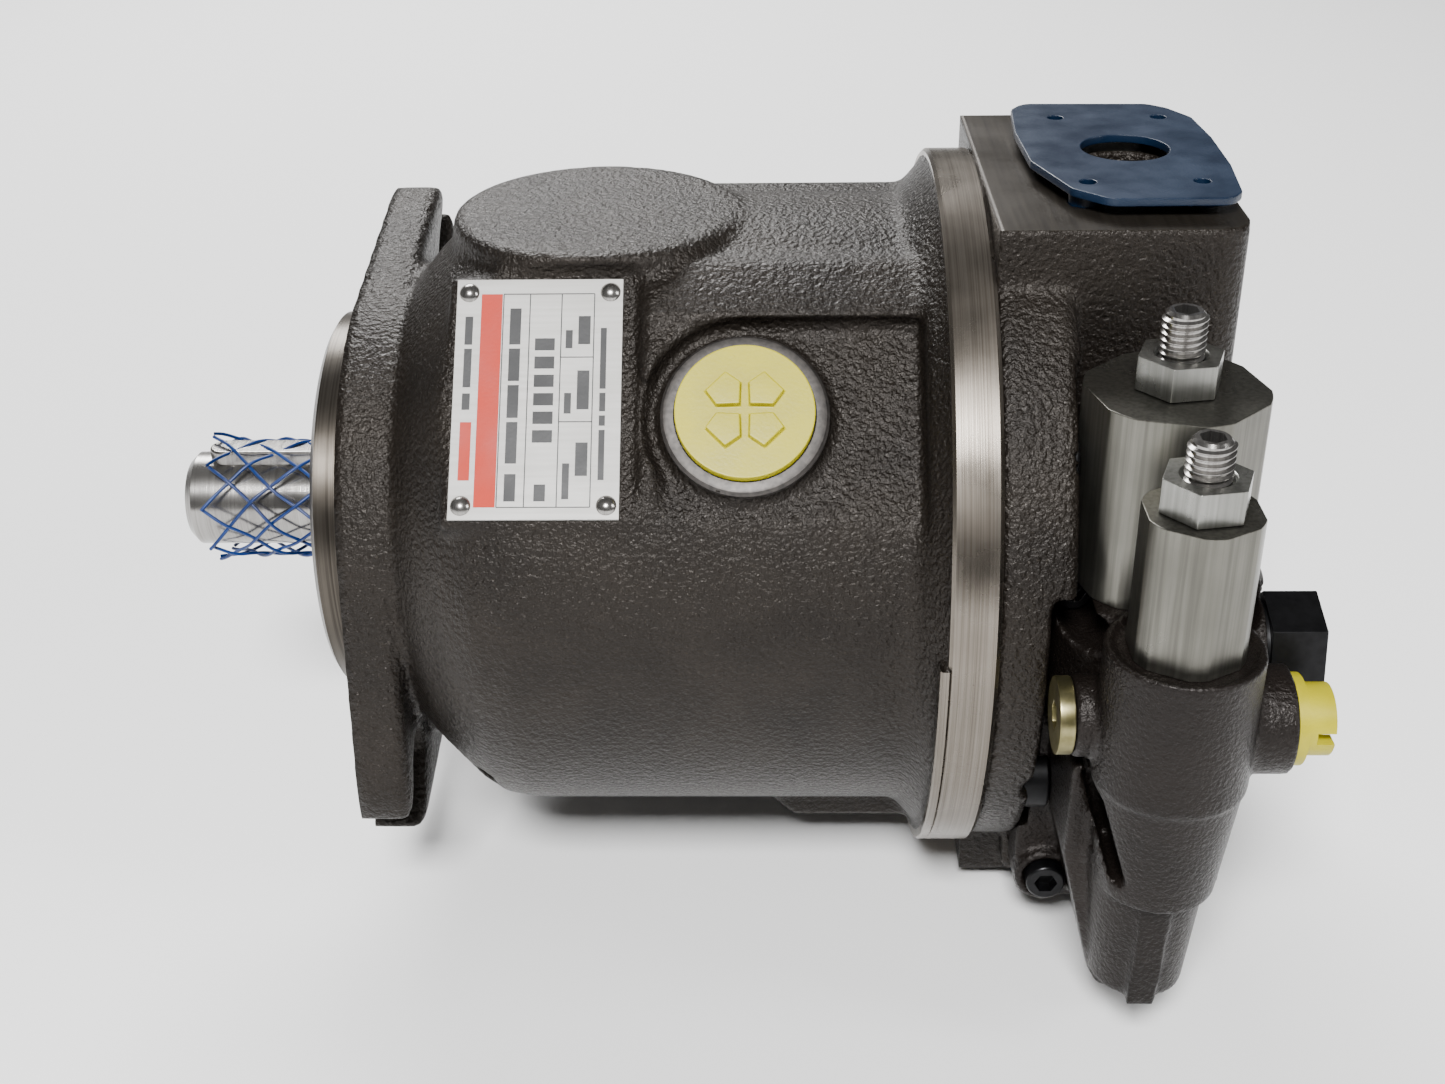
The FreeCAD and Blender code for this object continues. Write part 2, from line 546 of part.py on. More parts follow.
def adjuster(tag, y, plate_z0, plate_r, cap_top, tip_z):
    # Adjusting screw with a spring plate at its foot and a hexagon socket in its tip, and its lock nut.
    screw = [rod(plate_r, (vx, y, plate_z0), (vx, y, plate_z0 + 2.0))]
    screw.append(rod(5.0, (vx, y, plate_z0 + 2.0), (vx, y, tip_z - 1.0)))
    screw.append(taper(5.0, 4.0, (vx, y, tip_z - 1.0), (vx, y, tip_z)))
    screw = fused(screw).cut(hexagon(5.0, (vx, y, tip_z - 7), (vx, y, tip_z + 1)))
    save(tag + "_screw", screw)
    nut = chamfered_hex(17.0, (vx, y, cap_top + 0.3), (vx, y, cap_top + 8.0), 10.0)
    nut = nut.cut(rod(5.04, (vx, y, cap_top - 1), (vx, y, cap_top + 9)))
    nut = nut.cut(taper(5.9, 5.0, (vx, y, cap_top + 8.0), (vx, y, cap_top + 7.0)))
    save(tag + "_nut", nut)


adjuster("pressure", pressure_y, 51.5, 9.4, 63.2, 81.2)
adjuster("flow", flow_y, 33.0, 5.9, 50.8, 67.3)

cross = rod(8.8, (166.6, -97, -4.5), (170.2, -97, -4.5))
cross = fused([cross, rod(5.5, (170.2, -97, -4.5), (180, -97, -4.5))])
save("cross_plug", cross.cut(hexagon(6.0, (165, -97, -4.5), (173, -97, -4.5))))
stop = [chamfered_hex(22.0, (218.0, -71, -2), (230.5, -71, -2), 17.0, both=False)]
stop += [rod(10.0, (217.0, -71, -2), (218.0, -71, -2)), rod(8.0, (207, -71, -2), (217.0, -71, -2))]
save("stop_plug", fused(stop))

# ---------------------------------------------------------------- plugs, covers, nameplate, net
flange_disc = rod(16.0, drain_point(79.0, drain_s), drain_point(82.0, drain_s))
drain = flange_disc.fuse(rod(10.2, drain_point(64, drain_s), drain_point(79.0, drain_s)))
drain = drain.cut(rod(8.6, drain_point(63, drain_s), drain_point(78.0, drain_s)))
for k in range(4):
    t = math.radians(90 * k + 45)
    ux, us = math.cos(t), math.sin(t)
    pts = []
    for along, side in ((1.6, 0.0), (5.2, 3.9), (9.4, 3.2), (9.4, -3.2), (5.2, -3.9)):
        pts.append(drain_point(81.9, drain_s + along * us + side * ux, drain_x + along * ux - side * us))
    drain = drain.fuse(prism(pts, drain_point(1.9, 0, 0)))
save("drain_plug", drain.removeSplitter())
steel = [rod(15.5, drain_point(81.0, drain_s, side=-1), drain_point(83.0, drain_s, side=-1))]
steel = fused(steel + [rod(10.2, drain_point(68, drain_s, side=-1), drain_point(81.0, drain_s, side=-1))])
steel = steel.cut(hexagon(10.0, drain_point(76, drain_s, side=-1), drain_point(84, drain_s, side=-1)))
save("drain_plug_rear", steel)
pilot_cap = [rod(10.4, (218.3, -97, -5.5), (220.6, -97, -5.5))]
pilot_cap.append(rod(6.36, (208, -97, -5.5), (218.3, -97, -5.5)))
pilot_cap.append(rod(8.2, (220.6, -97, -5.5), (227.0, -97, -5.5)))
pilot_cap = fused(pilot_cap).cut(block(223.0, 228.0, -110, -80, -6.9, -4.1))
save("pilot_plug", pilot_cap.cut(rod(4.4, (223.0, -97, -5.5), (228, -97, -5.5))))


def port_cover(face_z, up, outline, dx, dy, peg_r, hole_r, window_r):
    low = face_z + up * 2.9
    high = face_z + up * 4.9
    sheet = prism([(x, y, min(low, high)) for x, y in outline], (0, 0, 2.0))
    upright = [e for e in sheet.Edges if abs(e.CenterOfMass.z - (low + high) / 2) < 0.1]
    sheet = sheet.makeFillet(5.0, upright)
    pegs = []
    holes = []
    for sx in (-1, 1):
        for sy in (-1, 1):
            x, y = port_x + sx * dx, sy * dy
            pegs.append(rod(peg_r, (x, y, face_z - up * 7.0), (x, y, low)))
            holes.append(rod(hole_r, (x, y, face_z - up * 8.0), (x, y, high + up)))
    cover = fused([sheet] + pegs)
    for hole in holes:
        cover = cover.cut(hole)
    return cover.cut(rod(window_r, (port_x, 0, low - up), (port_x, 0, high + up)))


top_outline = [(166.5, 34.0), (170.0, 39.5), (202.5, 38.5), (207.0, 34.5), (211.5, 26.0)]
top_outline += [(212.8, 8.0), (212.5, -14.0), (210.6, -34.0), (207.5, -38.5)]
top_outline += [(180.0, -38.5), (172.5, -31.0), (165.8, -10.0), (165.0, 14.0)]
save("pressure_cover", port_cover(plate_z, 1, top_outline, 13.1, 26.2, 4.2, 1.9, 10.6))
low_outline = [(164.5, 30.0), (171.0, 43.5), (207.0, 43.5), (212.5, 30.0)]
low_outline += [(212.5, -30.0), (207.0, -43.5), (171.0, -43.5), (164.5, -30.0)]
save("suction_cover", port_cover(-plate_z, -1, low_outline, 17.85, 34.95, 5.05, 2.2, 12.0))

plate_pts = []
for s, x in ((-29.3, 30.6), (29.3, 30.6), (29.3, 69.4), (-29.3, 69.4)):
    plate_pts.append(drain_point(75.8, s, x))
sheet = prism(plate_pts, drain_point(0.8, 0, 0))
rivets = []
for s, e in ((-26, -16.5), (26, -16.5), (-26, 16.5), (26, 16.5)):
    sheet = sheet.cut(rod(1.2, drain_point(70, s, 50 + e), drain_point(78, s, 50 + e)))
    head = Part.makeSphere(2.9, V(*drain_point(74.9, s, 50 + e)))
    above = rod(4.0, drain_point(76.6, s, 50 + e), drain_point(80, s, 50 + e))
    pin = rod(1.2, drain_point(71, s, 50 + e), drain_point(76.8, s, 50 + e))
    rivets.append(fused([head.common(above), pin]))
save("nameplate", sheet)
save("nameplate_rivets", Part.makeCompound(rivets))
save("shaft_net", tube(17.4, 16.4, (-45.5, 0, 0), (-10.0, 0, 0)))
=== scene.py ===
import bpy
import math
import random
import json
from mathutils import Matrix, Vector

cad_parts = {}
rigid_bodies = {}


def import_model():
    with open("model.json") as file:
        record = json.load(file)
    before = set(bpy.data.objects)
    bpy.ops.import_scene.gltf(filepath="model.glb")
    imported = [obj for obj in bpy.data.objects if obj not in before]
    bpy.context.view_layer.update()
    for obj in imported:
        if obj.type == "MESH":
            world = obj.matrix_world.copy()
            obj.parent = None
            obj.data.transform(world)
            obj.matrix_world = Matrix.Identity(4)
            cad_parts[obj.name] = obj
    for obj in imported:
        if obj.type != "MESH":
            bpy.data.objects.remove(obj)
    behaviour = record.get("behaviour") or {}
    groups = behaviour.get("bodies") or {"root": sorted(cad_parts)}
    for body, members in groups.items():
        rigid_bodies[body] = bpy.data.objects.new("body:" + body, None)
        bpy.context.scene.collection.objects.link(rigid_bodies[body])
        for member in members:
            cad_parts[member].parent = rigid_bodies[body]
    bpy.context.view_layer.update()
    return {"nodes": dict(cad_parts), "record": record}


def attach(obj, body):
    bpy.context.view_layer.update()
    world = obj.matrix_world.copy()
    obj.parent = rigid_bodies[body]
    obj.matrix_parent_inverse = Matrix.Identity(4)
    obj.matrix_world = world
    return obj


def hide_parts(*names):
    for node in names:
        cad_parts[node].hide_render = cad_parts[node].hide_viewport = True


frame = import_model()
nodes = frame["nodes"]
record = frame["record"]
scene = bpy.context.scene
random.seed(7)
mm = 0.001
slant = math.radians(45)
print("frame loaded", len(nodes))


def deselectAll():
    if bpy.context.object and bpy.context.object.mode != "OBJECT":
        bpy.ops.object.mode_set(mode="OBJECT")
    for item in bpy.data.objects:
        item.select_set(False)


def activate(piece):
    deselectAll()
    piece.select_set(True)
    bpy.context.view_layer.objects.active = piece


def applyModifier(piece, kind, **settings):
    activate(piece)
    modifier = piece.modifiers.new(kind.lower(), kind)
    for key, value in settings.items():
        setattr(modifier, key, value)
    bpy.ops.object.modifier_apply(modifier=modifier.name)


def settle(piece):
    activate(piece)
    bpy.ops.object.transform_apply(location=True, rotation=True, scale=True)


def smoothByAngle(piece, degrees=35):
    activate(piece)
    bpy.ops.object.shade_smooth_by_angle(angle=math.radians(degrees))


def mergedCopy(nodeName, pieceName, dissolve=True):
    piece = nodes[nodeName].copy()
    piece.data = nodes[nodeName].data.copy()
    piece.name = pieceName
    piece.data.name = pieceName
    piece.parent = None
    for key in list(piece.keys()):
        del piece[key]
    scene.collection.objects.link(piece)
    activate(piece)
    bpy.ops.object.mode_set(mode="EDIT")
    bpy.ops.mesh.select_all(action="SELECT")
    bpy.ops.mesh.remove_doubles(threshold=0.00001)
    if dissolve:
        bpy.ops.mesh.dissolve_limited(angle_limit=math.radians(0.4))
    bpy.ops.mesh.customdata_custom_splitnormals_clear()
    bpy.ops.object.mode_set(mode="OBJECT")
    return piece


def bevelledCopy(nodeName, pieceName, width, segments=2, angle=32):
    piece = mergedCopy(nodeName, pieceName)
    applyModifier(piece, "BEVEL", width=width, segments=segments, limit_method="ANGLE",
                  angle_limit=math.radians(angle), use_clamp_overlap=True)
    smoothByAngle(piece)
    applyModifier(piece, "WEIGHTED_NORMAL", weight=80, keep_sharp=True)
    return piece


def turnedPiece(pieceName, profile, vertices=96):
    # The profile is a list of (radius, height) in mm, walked from one end to the other.
    deselectAll()
    bpy.ops.mesh.primitive_circle_add(vertices=vertices, radius=profile[0][0] * mm, location=(0, 0, 0))
    piece = bpy.context.object
    piece.name = pieceName
    bpy.ops.object.mode_set(mode="EDIT")
    bpy.ops.mesh.select_all(action="SELECT")
    bpy.ops.transform.translate(value=(0, 0, profile[0][1] * mm))
    for before, after in zip(profile, profile[1:]):
        rise = (after[1] - before[1]) * mm
        bpy.ops.mesh.extrude_edges_move(TRANSFORM_OT_translate={"value": (0, 0, rise)})
        ratio = after[0] / before[0]
        bpy.ops.transform.resize(value=(ratio, ratio, 1))
    bpy.ops.mesh.select_all(action="SELECT")
    bpy.ops.mesh.remove_doubles(threshold=0.000005)
    bpy.ops.mesh.normals_make_consistent(inside=False)
    bpy.ops.object.mode_set(mode="OBJECT")
    return piece


def alongX(piece, x=0.0, y=0.0, z=0.0):
    piece.rotation_euler = (0, math.radians(90), 0)
    piece.location = (x * mm, y * mm, z * mm)
    settle(piece)


def ontoSlant(piece, x, s):
    # Stands a piece on the line that leaves the shaft axis at 45 degrees towards the nameplate side.
    piece.rotation_euler = (slant, 0, 0)
    piece.location = (x * mm, s * mm * math.cos(slant), s * mm * math.sin(slant))
    settle(piece)


def shaderMaterial(name, colour, metallic, roughness):
    material = bpy.data.materials.new(name)
    material.use_nodes = True
    tree = material.node_tree
    shader = tree.nodes["Principled BSDF"]
    shader.inputs["Base Color"].default_value = (*colour, 1)
    shader.inputs["Metallic"].default_value = metallic
    shader.inputs["Roughness"].default_value = roughness
    return material, tree, shader


def objectNoise(tree, scale, detail=2.0, stretch=(1, 1, 1), kind="ShaderNodeTexNoise"):
    coords = tree.nodes.new("ShaderNodeTexCoord")
    mapping = tree.nodes.new("ShaderNodeMapping")
    mapping.inputs["Scale"].default_value = stretch
    noise = tree.nodes.new(kind)
    noise.inputs["Scale"].default_value = scale
    if kind == "ShaderNodeTexNoise":
        noise.inputs["Detail"].default_value = detail
    tree.links.new(coords.outputs["Object"], mapping.inputs["Vector"])
    tree.links.new(mapping.outputs["Vector"], noise.inputs["Vector"])
    return noise.outputs[0]


def colourRamp(tree, value, stops):
    node = tree.nodes.new("ShaderNodeValToRGB")
    band = node.color_ramp.elements
    while len(band) < len(stops):
        band.new(0.5)
    for element, (place, colour) in zip(band, stops):
        element.position = place
        element.color = (*colour, 1)
    tree.links.new(value, node.inputs[0])
    return node.outputs[0]


def mixColours(tree, factor, first, second):
    node = tree.nodes.new("ShaderNodeMix")
    node.data_type = "RGBA"
    tree.links.new(factor, node.inputs[0])
    tree.links.new(first, node.inputs[6])
    node.inputs[7].default_value = (*second, 1)
    return node.outputs[2]


def spread(tree, value, low, high, fromLow=0.3, fromHigh=0.7):
    node = tree.nodes.new("ShaderNodeMapRange")
    node.inputs["From Min"].default_value = fromLow
    node.inputs["From Max"].default_value = fromHigh
    node.inputs["To Min"].default_value = low
    node.inputs["To Max"].default_value = high
    tree.links.new(value, node.inputs[0])
    return node.outputs[0]


def addBump(tree, shader, height, strength, distance, before=None):
    node = tree.nodes.new("ShaderNodeBump")
    node.inputs["Strength"].default_value = strength
    node.inputs["Distance"].default_value = distance
    tree.links.new(height, node.inputs["Height"])
    if before:
        tree.links.new(before, node.inputs["Normal"])
    tree.links.new(node.outputs[0], shader.inputs["Normal"])
    return node.outputs[0]


materials = {}


def castIron(name, dark, light, speck, grain, strength):
    material, tree, shader = shaderMaterial(name, dark, 0.45, 0.45)
    broad = objectNoise(tree, 38, 4)
    colour = colourRamp(tree, broad, [(0.32, dark), (0.68, light)])
    fine = objectNoise(tree, grain * 2.3, 2)
    # Where the fine noise peaks, the base colour is lifted to the speck colour as painted glints that stand in
    # for specular sparkle; the same noise lowers the roughness there, which is real.
    paintedGlintMask = colourRamp(tree, fine, [(0.63, (0, 0, 0)), (0.72, (1, 1, 1))])
    tree.links.new(mixColours(tree, paintedGlintMask, colour, speck), shader.inputs["Base Color"])
    tree.links.new(spread(tree, fine, 0.52, 0.26), shader.inputs["Roughness"])
    shader.inputs["Specular IOR Level"].default_value = 0.35
    pebble = addBump(tree, shader, objectNoise(tree, grain, 3), strength, 0.0009)
    addBump(tree, shader, objectNoise(tree, grain * 2.6, 2), 0.5, 0.00022, pebble)
    return material


def turnedMetal(name, dark, light, roughness, stretch, scale=1.0, depth=0.00004, metallic=0.95):
    material, tree, shader = shaderMaterial(name, light, metallic, roughness)
    grooves = objectNoise(tree, scale, 3, stretch)
    stain = objectNoise(tree, 55, 5)
    colour = colourRamp(tree, grooves, [(0.30, dark), (0.62, light)])
    shade = colourRamp(tree, stain, [(0.35, (0, 0, 0)), (0.75, (0.45, 0.45, 0.45))])
    tree.links.new(mixColours(tree, shade, colour, dark), shader.inputs["Base Color"])
    tree.links.new(spread(tree, stain, roughness - 0.05, roughness + 0.1), shader.inputs["Roughness"])
    addBump(tree, shader, grooves, 0.45, depth)
    return material


def plastic(name, dark, light, roughness, speck=0.00012, transmission=0.0):
    material, tree, shader = shaderMaterial(name, light, 0.0, roughness)
    broad = objectNoise(tree, 90, 4)
    tree.links.new(colourRamp(tree, broad, [(0.3, dark), (0.7, light)]), shader.inputs["Base Color"])
    fine = objectNoise(tree, 1400, 3)
    tree.links.new(spread(tree, broad, roughness - 0.06, roughness + 0.1), shader.inputs["Roughness"])
    addBump(tree, shader, fine, 0.25, speck)
    shader.inputs["Transmission Weight"].default_value = transmission
    return material


# The third colour is the painted glint colour for the iron's sparkle.
materials["cast_iron"] = castIron(
    "castIron", (0.0105, 0.0080, 0.0062), (0.0185, 0.0145, 0.0112), (0.034, 0.028, 0.022), 820, 0.9)
materials["machined_iron"] = turnedMetal(
    "machinedIron", (0.13, 0.112, 0.092), (0.235, 0.21, 0.18), 0.26, (2600, 14, 14))
materials["ground_steel"] = turnedMetal(
    "groundSteel", (0.22, 0.21, 0.20), (0.36, 0.35, 0.335), 0.19, (2200, 20, 20))
materials["bright_steel"] = turnedMetal(
    "brightSteel", (0.20, 0.20, 0.185), (0.31, 0.31, 0.29), 0.27, (900, 900, 18))
materials["black_screw"] = turnedMetal(
    "blackOxide", (0.003, 0.003, 0.0035), (0.008, 0.008, 0.009), 0.33, (500, 500, 500), metallic=0.6)
materials["bronze"] = turnedMetal("bronze", (0.30, 0.17, 0.07), (0.55, 0.36, 0.18), 0.32, (1500, 30, 30))
materials["gold_zinc"] = turnedMetal(
    "goldZinc", (0.17, 0.15, 0.065), (0.30, 0.27, 0.14), 0.33, (300, 300, 300))
materials["rubber"] = plastic("blackRubber", (0.012, 0.012, 0.012), (0.03, 0.03, 0.03), 0.6)
materials["spring"] = turnedMetal("springWire", (0.2, 0.2, 0.2), (0.4, 0.4, 0.41), 0.3, (900, 900, 900))
materials["yellow_cap"] = plastic("yellowPlastic", (0.36, 0.315, 0.0), (0.46, 0.405, 0.0), 0.42)
materials["blue_cover"] = plastic(
    "bluePlastic", (0.0006, 0.0075, 0.024), (0.0012, 0.013, 0.038), 0.36, transmission=0.1)
materials["blue_net"] = plastic("blueNet", (0.0006, 0.014, 0.085), (0.0012, 0.030, 0.16), 0.36)
materials["label"] = turnedMetal(
    "labelAluminium", (0.40, 0.39, 0.37), (0.48, 0.47, 0.45), 0.45, (40, 900, 900),
    depth=0.00001, metallic=0.15)
materials["ink"] = plastic("blackInk", (0.010, 0.010, 0.011), (0.018, 0.018, 0.019), 0.5)
materials["stripe"] = plastic("orangeInk", (0.40, 0.014, 0.0), (0.47, 0.020, 0.0), 0.55)
materials["faced"] = turnedMetal(
    "facedIron", (0.030, 0.025, 0.020), (0.050, 0.043, 0.034), 0.36, (900, 30, 900), metallic=0.75)
slotOf = {}
for part in record["subparts"]:
    slotOf[part["node"]] = part["material_slot"]
for name, node in nodes.items():
    node.data.materials.clear()
    node.data.materials.append(materials[slotOf[name]])
print("materials made", len(materials))


def dress(piece, body, slotName, *replaced, material=None):
    piece.data.materials.clear()
    piece.data.materials.append(material or materials[slotName])
    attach(piece, body)
    if replaced:
        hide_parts(*replaced)
    print("piece", piece.name, len(piece.data.polygons))


def castCopy(nodeName, pieceName, voxel, smoothing):
    piece = mergedCopy(nodeName, pieceName, dissolve=False)
    applyModifier(piece, "REMESH", mode="VOXEL", voxel_size=voxel * mm)
    applyModifier(piece, "SMOOTH", factor=0.5, iterations=smoothing)
    activate(piece)
    bpy.ops.object.shade_smooth()
    return piece


def cutAway(piece, place, normal):
    activate(piece)
    bpy.ops.object.mode_set(mode="EDIT")
    bpy.ops.mesh.select_all(action="SELECT")
    bpy.ops.mesh.bisect(plane_co=place, plane_no=normal, clear_outer=True, use_fill=False)
    bpy.ops.object.mode_set(mode="OBJECT")


def snapPlane(piece, axis, value, reach, keepRadius=0.0):
    # Machined faces come out flat: points within reach of the plane are moved onto it.
    for point in piece.data.vertices:
        away = math.hypot(point.co.y, point.co.z)
        if abs(point.co[axis] - value * mm) < reach * mm and away > keepRadius * mm:
            point.co[axis] = value * mm
    piece.data.update()


def paintFaces(piece, material, axis, side, level):
    piece.data.materials.append(material)
    index = len(piece.data.materials) - 1
    for face in piece.data.polygons:
        if face.normal[axis] * side > 0.97 and abs(face.center[axis] - level * mm) < 0.3 * mm:
            face.material_index = index


housingSpec = {"voxel": 1.45, "smoothing": 4, "ringStart": 143.5, "pilotFoot": -0.6}
housing = castCopy("housing", "housingCasting", housingSpec["voxel"], housingSpec["smoothing"])
snapPlane(housing, 0, 0.0, 1.0, 52)
cutAway(housing, (housingSpec["ringStart"] * mm, 0, 0), (1, 0, 0))
cutAway(housing, (housingSpec["pilotFoot"] * mm, 0, 0), (-1, 0, 0))
dress(housing, "casing", "cast_iron", "housing")
paintFaces(housing, materials["faced"], 0, -1, 0.0)

ringSpec = {"outer": 91.4, "inner": 70.0, "start": 143.4, "end": 154.8}
ring = turnedPiece("machinedRing", [
    (ringSpec["inner"], ringSpec["start"]), (ringSpec["outer"] - 0.8, ringSpec["start"]),
    (ringSpec["outer"], ringSpec["start"] + 0.8), (ringSpec["outer"], ringSpec["end"] - 1.0),
    (ringSpec["outer"] - 1.0, ringSpec["end"]), (ringSpec["inner"], ringSpec["end"])], 160)
alongX(ring)
smoothByAngle(ring)
dress(ring, "casing", "machined_iron")

bandSpec = {"outer": 91.38, "inner": 84.0, "start": 141.6, "end": 143.6}
band = turnedPiece("ringStep", [
    (bandSpec["inner"], bandSpec["start"]), (bandSpec["outer"] - 0.48, bandSpec["start"]),
    (bandSpec["outer"], bandSpec["start"] + 0.5), (bandSpec["outer"], bandSpec["end"]),
    (bandSpec["inner"], bandSpec["end"])], 160)
alongX(band)
cutAway(band, (0, 0, 3 * mm), (0, 0, 1))
cutAway(band, (0, 0, 0), (0, 1, 0))
smoothByAngle(band)
dress(band, "casing", "machined_iron")

pilotSpec = {"outer": 50.0, "bore": 21.0, "front": -9.0, "back": 0.6}
pilot = turnedPiece("pilotSpigot", [
    (pilotSpec["bore"], 5.5), (pilotSpec["bore"], pilotSpec["front"] + 0.4),
    (pilotSpec["bore"] + 0.6, pilotSpec["front"]), (pilotSpec["outer"] - 1.8, pilotSpec["front"]),
    (pilotSpec["outer"], pilotSpec["front"] + 1.2), (pilotSpec["outer"], pilotSpec["back"])], 128)
alongX(pilot)
smoothByAngle(pilot)
pilotMetal = turnedMetal(
    "pilotMetal", (0.035, 0.030, 0.025), (0.085, 0.075, 0.063), 0.30, (1800, 14, 14))
dress(pilot, "casing", "machined_iron", material=pilotMetal)

bossSpec = {"x": 97.8, "s": -5.4, "outer": 19.32, "face": 79.68, "spot": 78.65, "bore": 10.3}
bossFace = turnedPiece("drainBossFace", [
    (bossSpec["outer"], 76.5), (19.3, 78.6), (18.6, 79.5), (17.9, bossSpec["face"]), (16.3, bossSpec["face"]),
    (16.2, bossSpec["spot"]), (bossSpec["bore"], bossSpec["spot"]), (bossSpec["bore"], 70)], 96)
ontoSlant(bossFace, bossSpec["x"], bossSpec["s"])
smoothByAngle(bossFace)
bossMetal = turnedMetal(
    "bossMetal", (0.038, 0.035, 0.033), (0.075, 0.068, 0.063), 0.44, (700, 700, 700), metallic=0.6)
dress(bossFace, "casing", "machined_iron", material=bossMetal)

plateSpec = {"voxel": 1.15, "smoothing": 3, "faceZ": 90.3, "jointX": 154.8}
portPlate = castCopy("port_plate", "portPlateCasting", plateSpec["voxel"], plateSpec["smoothing"])
snapPlane(portPlate, 2, plateSpec["faceZ"], 0.9)
snapPlane(portPlate, 2, -plateSpec["faceZ"], 0.9)
snapPlane(portPlate, 0, plateSpec["jointX"], 0.8)
dress(portPlate, "casing", "cast_iron", "port_plate")
paintFaces(portPlate, materials["faced"], 2, 1, plateSpec["faceZ"])
paintFaces(portPlate, materials["faced"], 2, -1, -plateSpec["faceZ"])

valveSpec = {"voxel": 0.85, "smoothing": 3}
valve = castCopy("valve_body", "valveCasting", valveSpec["voxel"], valveSpec["smoothing"])
# The third colour is the painted glint colour for the iron's sparkle.
valveIron = castIron(
    "valveIron", (0.0075, 0.0055, 0.0045), (0.0135, 0.010, 0.0082), (0.024, 0.019, 0.016), 950, 0.55)
dress(valve, "casing", "cast_iron", "valve_body", material=valveIron)

capSteel = turnedMetal("capSteel", (0.105, 0.102, 0.088), (0.175, 0.170, 0.148), 0.30, (900, 900, 18))
for pieceName, nodeName, body, width in (
        ("shaftPiece", "drive_shaft", "rotor", 0.25), ("keyPiece", "shaft_key", "rotor", 0.3),
        ("capLarge", "pressure_cap", "casing", 0.35), ("capSmall", "flow_cap", "casing", 0.3),
        ("nutLarge", "pressure_nut", "pressure_nut", 0.25), ("nutSmall", "flow_nut", "flow_nut", 0.25),
        ("stopPlug", "stop_plug", "casing", 0.35), ("crossPlug", "cross_plug", "casing", 0.4),
        ("slottedPlug", "pilot_plug", "pilot_plug", 0.4), ("drainCap", "drain_plug", "drain_plug", 0.55),
        ("rearPlug", "drain_plug_rear", "casing", 0.5),
        ("coverTop", "pressure_cover", "pressure_cover", 0.35),
        ("coverBottom", "suction_cover", "suction_cover", 0.35), ("valveScrews", "valve_screws", "casing", 0.3),
        ("plateScrews", "plate_screws", "casing", 0.3), ("labelPlate", "nameplate", "casing", 0.15),
        ("labelRivets", "nameplate_rivets", "casing", 0.1)):
    copied = bevelledCopy(nodeName, pieceName, width * mm)
    metal = capSteel if pieceName in ("capLarge", "capSmall") else None
    dress(copied, body, slotOf[nodeName], nodeName, material=metal)


def threadedScrew(pieceName, body, nodeName, centreY, foot, tip):
    screwSpec = {"core": 4.25, "crest": 4.98, "pitch": 1.5, "socket": 5.0}
    core = turnedPiece(pieceName, [
        (0.6, foot), (screwSpec["core"], foot), (screwSpec["core"], tip - 0.7), (3.6, tip), (0.6, tip)], 48)
    activate(core)
    bpy.ops.object.mode_set(mode="EDIT")
    bpy.ops.mesh.select_all(action="SELECT")
    bpy.ops.mesh.fill_holes(sides=0)
    bpy.ops.mesh.normals_make_consistent(inside=False)
    bpy.ops.object.mode_set(mode="OBJECT")
    deselectAll()
    socketRadius = screwSpec["socket"] / math.sqrt(3) * mm
    bpy.ops.mesh.primitive_cylinder_add(vertices=6, radius=socketRadius, depth=12 * mm,
                                        location=(0, 0, tip * mm))
    cutter = bpy.context.object
    applyModifier(core, "BOOLEAN", operation="DIFFERENCE", object=cutter, solver="EXACT")
    bpy.data.objects.remove(cutter)
    profile = bpy.data.meshes.new("threadProfile")
    low, high = screwSpec["core"] - 0.1, screwSpec["crest"]
    half = screwSpec["pitch"] * 0.42
    profile.from_pydata([(low * mm, 0, -half * mm), (high * mm, 0, -0.08 * mm), (high * mm, 0, 0.08 * mm),
                         (low * mm, 0, half * mm)], [(0, 1), (1, 2), (2, 3)], [])
    thread = bpy.data.objects.new("threadTurn", profile)
    scene.collection.objects.link(thread)
    turns = int((tip - foot - 2.2) / screwSpec["pitch"])
    applyModifier(thread, "SCREW", axis="Z", screw_offset=screwSpec["pitch"] * mm, iterations=turns, steps=36,
                  render_steps=36, use_normal_calculate=True)
    thread.location = (0, 0, (tip - 1.3 - turns * screwSpec["pitch"]) * mm)
    settle(thread)
    activate(core)
    thread.select_set(True)
    bpy.ops.object.join()
    core.location = (0.192, centreY * mm, 0)
    settle(core)
    smoothByAngle(core, 40)
    dress(core, body, "ground_steel", nodeName)


threadedScrew("screwLarge", "pressure_screw", "pressure_screw", -70.0, 56.0, 81.2)
threadedScrew("screwSmall", "flow_screw", "flow_screw", -103.3, 44.0, 67.3)


plateTop = 76.6


def labelQuads(pieceName, quads, lift, material):
    made = []
    for x0, x1, s0, s1 in quads:
        deselectAll()
        middle = ((x0 + x1) / 2 * mm, (s0 + s1) / 2 * mm, (plateTop + lift) * mm)
        bpy.ops.mesh.primitive_plane_add(size=1, location=middle)
        tile = bpy.context.object
        tile.scale = (abs(x1 - x0) * mm, abs(s1 - s0) * mm, 1)
        settle(tile)
        made.append(tile)
    deselectAll()
    for tile in made:
        tile.select_set(True)
    bpy.context.view_layer.objects.active = made[0]
    bpy.ops.object.join()
    piece = bpy.context.object
    piece.name = pieceName
    applyModifier(piece, "SOLIDIFY", thickness=0.02 * mm, offset=1)
    ontoSlant(piece, 0, 0)
    dress(piece, "casing", "label", material=material)


